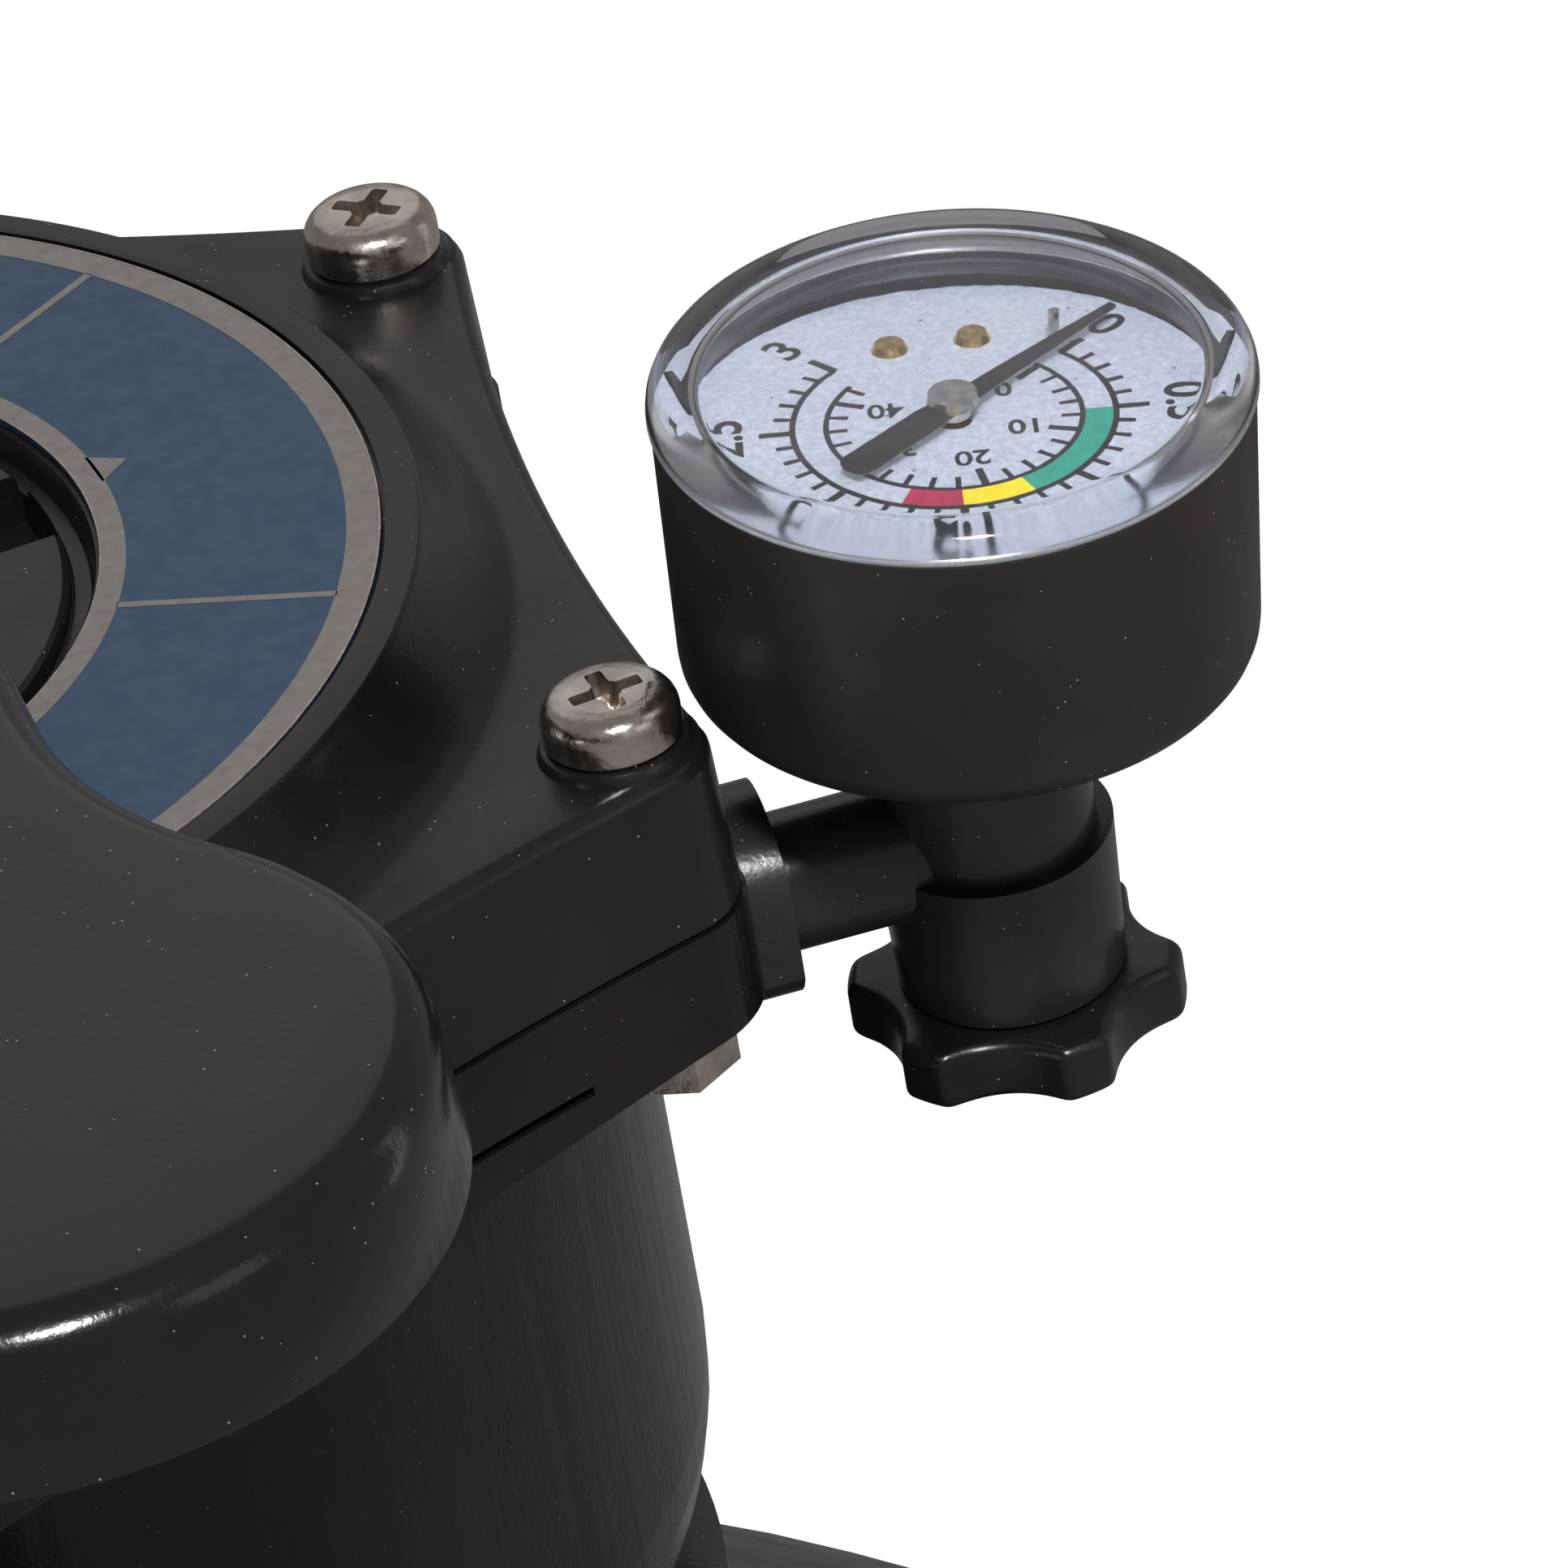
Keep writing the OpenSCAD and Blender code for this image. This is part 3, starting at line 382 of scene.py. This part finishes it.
def lid():
    bm = bmesh.new()
    rings = []

    def outline(grow, z):
        rings.append([(x, y, z) for x, y in lid_outline(grow)])

    def circle(r, z):
        rings.append([(x, y, z) for x, y in radial(r)])

    for r, z in ((60, JOINT_Z + 3), (69, JOINT_Z + 3), (69, JOINT_Z)):
        circle(r, z)
    outline(-0.3, JOINT_Z)
    outline(0, JOINT_Z + 0.3)
    outline(-0.5, LID_TOP - 1.9)
    for a in range(0, 91, 15):
        outline(-2.2 + 1.7 * math.cos(math.radians(a)), LID_TOP - 1.9 + 1.9 * math.sin(math.radians(a)))
    for t in (0.35, 0.7, 0.95):
        rings.append([(x0 * (1 - t) + x1 * t, y0 * (1 - t) + y1 * t, LID_TOP)
                      for (x0, y0), (x1, y1) in zip(lid_outline(-2.2), radial(79.2))])
    for i in range(1, 13):
        t = i / 12
        circle(79.2 - 9.0 * t, LID_TOP + 8.7 * (0.45 * t * t + 0.55 * t ** 3.2))
    for r, z in ((70.1, LABEL_Z - 0.3), (69.8, LABEL_Z), (67.4, LABEL_Z + 0.15), (67.0, LABEL_Z + 0.1),
                 (67.0, LABEL_Z - 0.7), (LABEL_HOLE - 0.3, LABEL_Z - 0.7), (LABEL_HOLE - 0.5, LABEL_Z - 0.9),
                 (LABEL_HOLE - 0.9, LABEL_Z - 3.2), (LABEL_HOLE - 1.2, LABEL_Z - 3.5), (HUB_OUT, LABEL_Z - 3.5),
                 (HUB_OUT, LABEL_Z - 10), (60, LABEL_Z - 10)):
        circle(r, z)
    loft(bm, rings, loop=True)
    return finish_mesh("lid_shell", bm, black, smooth=40)


lid_shell = lid()


def cut(obj, bm_cutter):
    # Takes the cutter's shape out of obj
    bm_cutter.transform(Matrix.Scale(MM, 4))
    bmesh.ops.recalc_face_normals(bm_cutter, faces=bm_cutter.faces)
    mesh = bpy.data.meshes.new("cutter")
    bm_cutter.to_mesh(mesh)
    bm_cutter.free()
    tool = bpy.data.objects.new("cutter", mesh)
    bpy.context.scene.collection.objects.link(tool)
    mod = obj.modifiers.new("cut", "BOOLEAN")
    mod.operation = "DIFFERENCE"
    mod.solver = "EXACT"
    mod.object = tool
    bpy.context.view_layer.update()
    done = bpy.data.meshes.new_from_object(obj.evaluated_get(bpy.context.evaluated_depsgraph_get()))
    obj.modifiers.remove(mod)
    old = obj.data
    obj.data = done
    bpy.data.meshes.remove(old)
    bpy.data.objects.remove(tool)
    bpy.data.meshes.remove(mesh)
    done.shade_smooth()
    done.set_sharp_from_angle(angle=math.radians(35))


bm = bmesh.new()
lathe(bm, [(HUB_HOLE, HUB_FACE - 9), (HUB_OUT, HUB_FACE - 9), (HUB_OUT, HUB_FACE - 2.2), (39.3, HUB_FACE - 2.0),
           (39.2, HUB_FACE - 0.4), (38.8, HUB_FACE), (15.4, HUB_FACE), (HUB_HOLE, HUB_FACE - 0.3),
           (HUB_HOLE, HUB_FACE - 9)], 180)
bmesh.ops.remove_doubles(bm, verts=bm.verts, dist=0.001)
hub_face = finish_mesh("lid_hub_face", bm, black, smooth=40)
bm = bmesh.new()
for k in range(SIDES):
    prism(bm, turned([(29, -5.75), (39.05, -5.75), (39.05, 5.75), (29, 5.75)], LABEL_TURN + 60 * k),
          LABEL_Z - 6.5, LABEL_Z + 2)
cut(hub_face, bm)
soften(hub_face, 0.35)
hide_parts("lid")

# ---- Label: blue ring, silver rings, dividers and position marks ----

bm = bmesh.new()
lathe(bm, [(LABEL_OUT, LABEL_Z - 0.6), (LABEL_OUT, LABEL_Z - 0.05), (LABEL_IN, LABEL_Z - 0.05),
           (LABEL_IN, LABEL_Z - 0.6), (LABEL_OUT, LABEL_Z - 0.6)], 180)
label_base = finish_mesh("label_base", bm, blue)
bm = bmesh.new()
for r0, r1 in ((63.6, 66.5), (LABEL_IN, 44.6)):
    lathe(bm, [(r0, INK_LOW), (r0, LABEL_Z), (r1, LABEL_Z), (r1, INK_LOW)], 180)
for k in range(SIDES):
    bar(bm, 44.5, 63.7, 37.2 + 60 * k, 0.8, INK_LOW, LABEL_Z)
    prism(bm, turned([(44.3, -2.4), (47.4, 0), (44.3, 2.4)], LABEL_TURN + 60 * k), INK_LOW, LABEL_Z)
finish_mesh("label_marks", bm, silver)
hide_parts("label_disc")
bm = bmesh.new()
for r0, r1 in ((66.35, 66.65), (42.25, 42.5)):
    lathe(bm, [(r0, LABEL_Z - 0.02), (r0 + 0.05, LABEL_Z + 0.04), (r1 - 0.08, LABEL_Z + 0.02),
               (r1, LABEL_Z - 0.1)], 180)
finish_mesh("label_rims", bm, nickel)

# ---- Lid screws ----


def pan_screw(bm, turn):
    n, head_top, recess = 96, 4.5, 2.3
    profile = [(0, -33), (2.4, -33), (2.95, -32.4), (2.95, 0.3), (5.7, 0.02), (6.0, 0.4), (6.0, 2.2)]
    profile += [(4.2 + 1.8 * math.cos(math.radians(a)), 2.2 + 2.1 * math.sin(math.radians(a)))
                for a in range(15, 91, 15)]
    profile += [(3.6, 4.45), (3.3, head_top)]
    rows = lathe(bm, profile, n)
    arm, width = 3.2, 0.78

    def cross(grow, z):
        ring = []
        for i in range(n):
            a = 2 * math.pi * i / n + 1e-4
            c, s = abs(math.cos(a)), abs(math.sin(a))
            big, small = max(c, s), min(c, s)
            w, l = width + grow, arm + grow
            r = min(l / big, w / small if small > 1e-6 else 1e9)
            corner = math.sqrt(2) * (w + 0.25)
            r = max(r, min(corner, (w + 0.35) / big))
            ring.append((r * math.cos(a), r * math.sin(a), z))
        return ring

    top = [bm.verts.new(p) for p in cross(0.0, head_top)]
    low = [bm.verts.new(p) for p in cross(-0.3, head_top - recess)]
    for a, b in ((rows[-1], top), (top, low)):
        for i in range(n):
            bm.faces.new([a[i], a[(i + 1) % n], b[(i + 1) % n], b[i]])
    bm.faces.new(low)
    bmesh.ops.rotate(bm, verts=bm.verts, cent=(0, 0, 0), matrix=rot(math.radians(turn), 3, "Z"))


screw_turns = [-38, 12, 55, 20, 40, 8]
for k in range(SIDES):
    bm = bmesh.new()
    pan_screw(bm, screw_turns[k])
    a = math.radians(30 + 60 * k)
    finish_mesh(f"lid_screw_{k + 1}", bm, steel,
                                  at=move((PITCH_R * math.cos(a), PITCH_R * math.sin(a), LID_TOP + 1)),
                                  smooth=30)
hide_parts("lid_screws")
for k in range(SIDES):
    bm = bmesh.new()
    lathe(bm, [(3.3, -1), (3.3, 0.95), (5.9, 0.95), (6.35, 0.8), (6.6, 0.4), (6.75, 0.0), (7.2, -0.2),
               (7.2, -1)], 64)
    a = math.radians(30 + 60 * k)
    finish_mesh(f"screw_pad_{k + 1}", bm, black,
                at=move((PITCH_R * math.cos(a), PITCH_R * math.sin(a), LID_TOP)))

# ---- Handle ----

HUB_R, NECK, END_R, REACH, WAIST_R = 28.0, 22.0, 38.0, 159.0, 45.0
END_AT = REACH - END_R
WAIST_Y = NECK + WAIST_R
WAIST_X = END_AT - math.sqrt((END_R + WAIST_R) ** 2 - WAIST_Y ** 2)
WAIST_A = math.degrees(math.atan2(WAIST_Y, END_AT - WAIST_X))
HANDLE_TOP, UNDER = LABEL_Z + 25, 15


def handle_outline(inset):
    side = arc(0, 0, HUB_R - inset, 180, 60, 16)
    side += arc(WAIST_X, WAIST_Y, WAIST_R + inset, -90, -WAIST_A, 16)
    side += arc(END_AT, 0, END_R - inset, 180 - WAIST_A, 0, 36)
    return side + [(x, -y) for x, y in reversed(side[1:-1])]


def handle():
    bm = bmesh.new()
    rings = []

    def ring(inset, z):
        rings.append([(x, y, z) for x, y in handle_outline(inset)])

    ring(4.0, HANDLE_TOP - 2.6)
    ring(3.2, HANDLE_TOP - UNDER + 0.2)
    ring(2.9, HANDLE_TOP - UNDER)
    ring(0.4, HANDLE_TOP - UNDER)
    ring(0.0, HANDLE_TOP - UNDER + 0.5)
    edge = 4.6
    for a in range(0, 91, 10):
        ring(0.6 + edge * (1 - math.cos(math.radians(a))),
             HANDLE_TOP - 0.25 - edge + edge * math.sin(math.radians(a)))
    ring(9.0, HANDLE_TOP - 0.08)
    ring(14.0, HANDLE_TOP)
    loft(bm, rings, cap_first=True, cap_last=True)
    bmesh.ops.triangulate(bm, faces=[f for f in bm.faces if len(f.verts) > 4])
    return finish_mesh("handle_grip", bm, handle_black, at=HANDLE, body="handle",
                       smooth=50)


handle_grip = handle()
bm = bmesh.new()
for y in (-12, 0, 12):
    far = 124 + (12 - abs(y)) * 1.2
    prism(bm, [(30, y - 1.2), (far, y - 1.2), (far, y + 1.2), (30, y + 1.2)],
          HANDLE_TOP - UNDER + 0.3, HANDLE_TOP - 2.5)
finish_mesh("handle_ribs", bm, handle_black, at=HANDLE, body="handle")
bm = bmesh.new()
lathe(bm, [(18.5, LABEL_Z + 0.8), (27.6, LABEL_Z + 0.8), (28.0, LABEL_Z + 1.2), (28.0, LABEL_Z + 20),
           (18.5, LABEL_Z + 20), (18.5, LABEL_Z + 0.8)], 96)
prism(bm, [(-37, -5.2), (-27, -5.2), (-27, 5.2), (-37, 5.2)], HUB_FACE + 0.3, LABEL_Z + 20)
finish_mesh("handle_hub", bm, handle_black, at=HANDLE, body="handle")
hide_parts("handle")

# ---- Bleed knob: six rounded points with hollow arcs between them ----

POST_BOTTOM, KNOB_H, KNOB_R = -14.4, 5.7, 14.55
HOLLOW_R, HOLLOW_AT, POINT_SHARPNESS, BLEND_R = 9.2, 21.2, 2.6, 12


def knob_ring(inset, z):
    ring = []
    for i in range(360):
        off = math.radians(abs((i % 60) - 30))
        square = HOLLOW_R ** 2 - (HOLLOW_AT * math.sin(off)) ** 2
        hollow = HOLLOW_AT * math.cos(off) - math.sqrt(max(square, 0))
        r = -math.log(math.exp(-POINT_SHARPNESS * (hollow - BLEND_R)) +
                      math.exp(-POINT_SHARPNESS * (KNOB_R - BLEND_R))) / POINT_SHARPNESS + BLEND_R - inset
        a = math.radians(i + 40)
        ring.append((r * math.cos(a), r * math.sin(a), z))
    return ring


bm = bmesh.new()
low, high = POST_BOTTOM - KNOB_H - 0.25, POST_BOTTOM - 0.35
rings = [knob_ring(1.0 - math.sin(math.radians(a)), low + 1.0 - math.cos(math.radians(a)))
         for a in range(0, 91, 18)]
rings += [knob_ring(1.3 - 1.3 * math.cos(math.radians(a)), high - 1.3 + 1.3 * math.sin(math.radians(a)))
          for a in range(0, 91, 15)]
loft(bm, [[(9 * x / math.hypot(x, y), 9 * y / math.hypot(x, y), low) for x, y, z in rings[0]]] + rings +
     [[(9 * x / math.hypot(x, y), 9 * y / math.hypot(x, y), high) for x, y, z in rings[0]]],
     cap_first=True, cap_last=True)
lathe(bm, [(0, high - 0.5), (3.95, high - 0.5), (3.95, POST_BOTTOM + 5), (3.05, POST_BOTTOM + 5.1),
           (3.05, POST_BOTTOM + 6.7), (3.95, POST_BOTTOM + 6.8), (3.95, POST_BOTTOM + 8.6),
           (3.6, POST_BOTTOM + 9), (0, POST_BOTTOM + 9)], 64)
knob = finish_mesh("bleed_knob_grip", bm, black, at=FIT, body="bleed_knob", smooth=40)
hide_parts("bleed_knob")

# ---- Gauge case and lens ----

bm = bmesh.new()
top = LENS_Z - 0.05
profile = [(6.2, CASE_Z), (21.5, CASE_Z)]
profile += [(21.7 + 3.1 * math.sin(math.radians(a)), CASE_Z + 3.1 - 3.1 * math.cos(math.radians(a)))
            for a in range(0, 91, 15)]
profile += [(25.5, top - 0.4), (25.2, top), (24.2, top), (24.2, top - 3.95), (22.4, top - 3.95),
            (22.4, CASE_Z + 2), (6.2, CASE_Z + 2), (6.2, CASE_Z)]
lathe(bm, profile, 160)
case_shell = finish_mesh("gauge_case_shell", bm, case_black, at=GAUGE, smooth=40)
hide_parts("gauge_case")

bm = bmesh.new()
LENS_R, LIP_R, LIP_Z = 25.8, 23.9, LENS_Z - 1.6
rim = 2.4
z0, z1 = LENS_Z + 0.05, LENS_Z + 3.15
profile = [(LIP_R, LIP_Z), (LIP_R, z0), (25.5, z0), (LENS_R, z0 + 0.3), (LENS_R, z1 - rim)]
profile += [(LENS_R - rim + rim * math.cos(math.radians(a)), z1 - rim + rim * math.sin(math.radians(a)))
            for a in range(15, 91, 15)]
profile += [(22.6, z1 - 0.05), (22.2, z1 - 0.35), (21.5, z1 - 0.5), (21.2, z1 - 0.5), (0, z1 - 0.5)]
lathe(bm, profile, 160)
low = [(0, z1 - 1.5), (21.2, z1 - 1.5), (21.6, z1 - 1.6), (22.4, z1 - 2.1), (22.6, z1 - 3.0), (22.6, LIP_Z),
       (LIP_R, LIP_Z)]
lathe(bm, low, 160)
bmesh.ops.remove_doubles(bm, verts=bm.verts, dist=0.001)
lens = finish_mesh("gauge_lens_cap", bm, lens_clear, at=GAUGE, smooth=60)
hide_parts("gauge_lens")

# ---- Dial print ----

ZERO, PER_BAR, DIAL_UP = 33.0, -90.0, 79
bm = bmesh.new()
z0, z1 = DIAL_Z - 0.02, DIAL_Z + 0.03
band(bm, 13.8, 14.35, ZERO, ZERO + 3 * PER_BAR, z0, z1)
for i in range(31):
    major = i % 5 == 0
    bar(bm, 14.0, 17.0 if major else 15.8, ZERO + PER_BAR * i / 10, 0.75 if major else 0.55, z0, z1)
PER_PSI = PER_BAR * 0.0689476
band(bm, 10.9, 11.4, ZERO + 3, ZERO + 42.5 * PER_PSI, z0, z1)
for i in range(22):
    major = i % 5 == 0
    bar(bm, 8.4 if major else 9.3, 11.1, ZERO + PER_PSI * i * 2, 0.7 if major else 0.5, z0, z1)
for turn in (DIAL_UP - 16, DIAL_UP + 16):
    bar(bm, 2.9, 4.1, turn, 0.3, z0, z1)
finish_mesh("dial_scale", bm, ink, at=GAUGE)
for name, mat, a, b in (("dial_green_band", green, 0.5, 1.2), ("dial_yellow_band", yellow, 1.2, 1.5),
                        ("dial_red_band", red, 1.5, 1.75)):
    bm = bmesh.new()
    band(bm, 11.4, 13.8, ZERO + PER_BAR * a, ZERO + PER_BAR * b, z0, z1)
    finish_mesh(name, bm, mat, at=GAUGE)


def number(text, r, angle, size, follow):
    curve = bpy.data.curves.new("number", "FONT")
    curve.body = text
    curve.size = size
    curve.extrude = 0.02
    curve.offset = 0.018 * size
    curve.align_x = "CENTER"
    curve.align_y = "CENTER"
    obj = bpy.data.objects.new("number", curve)
    bpy.context.scene.collection.objects.link(obj)
    mesh = bpy.data.meshes.new_from_object(obj.evaluated_get(bpy.context.evaluated_depsgraph_get()))
    bpy.data.objects.remove(obj)
    bm = bmesh.new()
    bm.from_mesh(mesh)
    bpy.data.meshes.remove(mesh)
    turn = angle - 90 if follow else DIAL_UP + 90
    c, s = math.cos(math.radians(angle)), math.sin(math.radians(angle))
    bm.transform(move((r * c, r * s, DIAL_Z + 0.01)) @ rot(math.radians(turn), 4, "Z"))
    return bm


def numbers(name, items, r, size, follow):
    whole = bmesh.new()
    for text, angle in items:
        one = number(text, r, angle, size, follow)
        mesh = bpy.data.meshes.new("part")
        one.to_mesh(mesh)
        one.free()
        whole.from_mesh(mesh)
        bpy.data.meshes.remove(mesh)
    return finish_mesh(name, whole, ink, at=GAUGE)


BAR_STEPS = (("0", 0), ("0.5", 0.5), ("1", 1), ("1.5", 1.5), ("2", 2), ("2.5", 2.5), ("3", 3))
numbers("dial_bar_numbers", [(t, ZERO + PER_BAR * v) for t, v in BAR_STEPS], 20.1, 5.3, True)
numbers("dial_psi_numbers", [(str(v), ZERO + PER_PSI * v) for v in (0, 10, 20, 30, 40)], 6.4, 3.2, False)

# ---- Pointer ----

bm = bmesh.new()
outline = [(-12.2, 1.6), (-12.9, 1.2), (-13.2, 0.4), (-13.2, -0.4), (-12.9, -1.2), (-12.2, -1.6), (-3, -1.6),
           (0, -1.2), (3, -1.05), (20.6, -0.38), (20.6, 0.38), (3, 1.05), (0, 1.2), (-3, 1.6)]
prism(bm, outline, DIAL_Z + 1.75, DIAL_Z + 2.1)
spin = rot(math.radians(POINTER_ANGLE), 4, "Z")
pointer_face = finish_mesh("pointer_face", bm, pointer_ink, at=GAUGE @ spin, body="pointer",
                           bevel=0.05)
bm = bmesh.new()
prism(bm, outline, DIAL_Z + 1.7, DIAL_Z + 1.78)
finish_mesh("pointer_edge", bm, nickel, at=GAUGE @ spin, body="pointer")
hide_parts("gauge_pointer")

# ---- Studio ----

floor_mat = Nodes("floor_white")
floor_tone = floor_mat.remap(floor_mat.noise(2, 3), 0.3, 0.7, 0, 1)
floor_mat.link(floor_mat.mix(floor_tone, (0.86, 0.86, 0.86), (0.88, 0.88, 0.88)),
               floor_mat.shader.inputs["Base Color"])
floor_mat.shader.inputs["Roughness"].default_value = 0.9
floor_mat.shader.inputs["Specular IOR Level"].default_value = 0.0
floor_mat.shader.inputs["Emission Color"].default_value = (1, 1, 1, 1)
floor_mat.shader.inputs["Emission Strength"].default_value = 0.75
bpy.ops.mesh.primitive_plane_add(size=60, location=(0, 0, -0.0005))
floor = bpy.context.object
floor.name = "floor"
floor.data.materials.append(floor_mat.mat)
floor.visible_glossy = False
floor.visible_transmission = False

world = bpy.data.worlds.new("studio")
bpy.context.scene.world = world
world.use_nodes = True
nodes, links = world.node_tree.nodes, world.node_tree.links
background = nodes["Background"]
background.inputs["Color"].default_value = (1.0, 0.95, 0.93, 1)
background.inputs["Strength"].default_value = 0.22
sky = nodes.new("ShaderNodeBackground")
sky.inputs["Color"].default_value = (1, 1, 1, 1)
sky.inputs["Strength"].default_value = 1.0
seen = nodes.new("ShaderNodeLightPath")
pick = nodes.new("ShaderNodeMixShader")
links.new(seen.outputs["Is Camera Ray"], pick.inputs["Fac"])
links.new(background.outputs["Background"], pick.inputs[1])
links.new(sky.outputs["Background"], pick.inputs[2])
links.new(pick.outputs["Shader"], nodes["World Output"].inputs["Surface"])


def soft_light(name, place, target, size, power, colour, size_y=None):
    data = bpy.data.lights.new(name, "AREA")
    data.shape = "RECTANGLE"
    data.size = size
    data.size_y = size_y or size
    data.energy = power
    data.color = colour
    obj = bpy.data.objects.new(name, data)
    bpy.context.scene.collection.objects.link(obj)
    obj.location = place
    obj.rotation_euler = (Vector(target) - Vector(place)).to_track_quat("-Z", "Y").to_euler()


aim = (0.03, -0.03, 0.72)
soft_light("key", (0.1, -0.75, 1.75), aim, 0.17, 11, (1, 0.97, 0.94))
soft_light("back_panel", (0.3, 1.75, 1.85), aim, 1.5, 2.1, (1, 0.96, 0.94))
soft_light("fill", (1.2, -1.3, 1.5), aim, 0.7, 1.0, (1, 0.98, 0.96))
soft_light("left_strip", (-1.1, -0.6, 0.6), aim, 0.15, 1.2, (1, 0.97, 0.95), 1.0)
soft_light("right_strip", (1.15, 0.1, 0.7), aim, 0.06, 0.25, (1, 0.92, 0.88), 1.0)

# ---- Camera ----

cam_data = bpy.data.cameras.new("camera")
cam_data.lens = 330.8
cam_data.sensor_width = 36.0
cam_data.clip_start = 0.05
cam_data.clip_end = 60
camera = bpy.data.objects.new("camera", cam_data)
bpy.context.scene.collection.objects.link(camera)
az, el, roll = math.radians(-9.2), math.radians(32.114), math.radians(-10.166)
back = Vector((math.sin(az) * math.cos(el), -math.cos(az) * math.cos(el), math.sin(el)))
right = Vector((math.cos(az), math.sin(az), 0))
up = back.cross(right)
right_r = right * math.cos(roll) + up * math.sin(roll)
up_r = -right * math.sin(roll) + up * math.cos(roll)
basis = Matrix((right_r, up_r, back)).transposed()
camera.matrix_world = move((-0.0741, -1.0594, LABEL_Z * MM + 0.6278)) @ basis.to_4x4()
bpy.context.scene.camera = camera
bpy.context.scene.view_settings.view_transform = "Standard"
